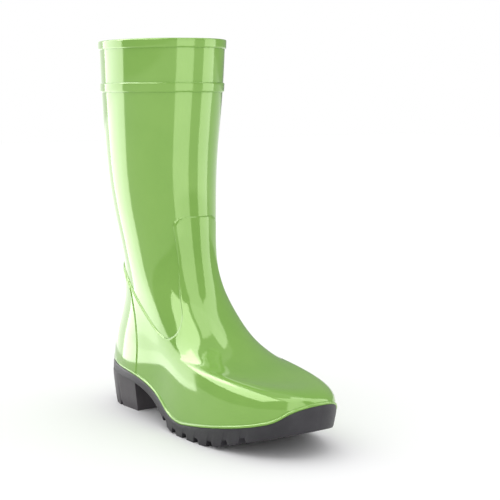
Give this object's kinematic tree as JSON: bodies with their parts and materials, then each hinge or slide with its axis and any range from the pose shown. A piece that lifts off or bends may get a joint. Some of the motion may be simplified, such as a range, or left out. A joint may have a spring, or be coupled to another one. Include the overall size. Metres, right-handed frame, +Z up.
{
  "type": "rain boot",
  "caption": "Knee-low glossy rubber rain boot with a raised heel, lugged sole, toe bumper and a knitted lining, for the right foot.",
  "frame": {"origin": "on the floor, under the middle of the boot's bounding box", "axes": "+Z up along the leg, +X from heel to toe, -Y to the outer side of the foot"},
  "size_m": [0.2943, 0.1022, 0.33],
  "materials": {
    "green_rubber": "high gloss",
    "black_rubber": "satin",
    "core_plastic": "matte",
    "shank_steel": "brushed",
    "filler_rubber": "matte",
    "lining_knit": "matte knit",
    "board": "matte fibre",
    "footbed_foam": "matte",
    "cover_fabric": "matte felt"
  },
  "bodies": {
    "root": {"upper_shell": "green_rubber", "top_rim_band": "green_rubber", "calf_band": "green_rubber", "ankle_overlay": "green_rubber", "heel_counter": "green_rubber", "welt_bead": "green_rubber", "outsole": "black_rubber", "heel_block": "black_rubber", "heel_core": "core_plastic", "shank": "shank_steel", "bottom_filler": "filler_rubber", "lining_sole": "lining_knit", "insole_board": "board", "lining_leg": "lining_knit", "lining_foot": "lining_knit", "footbed": "footbed_foam", "footbed_cover": "cover_fabric"}
  },
  "joints": []
}
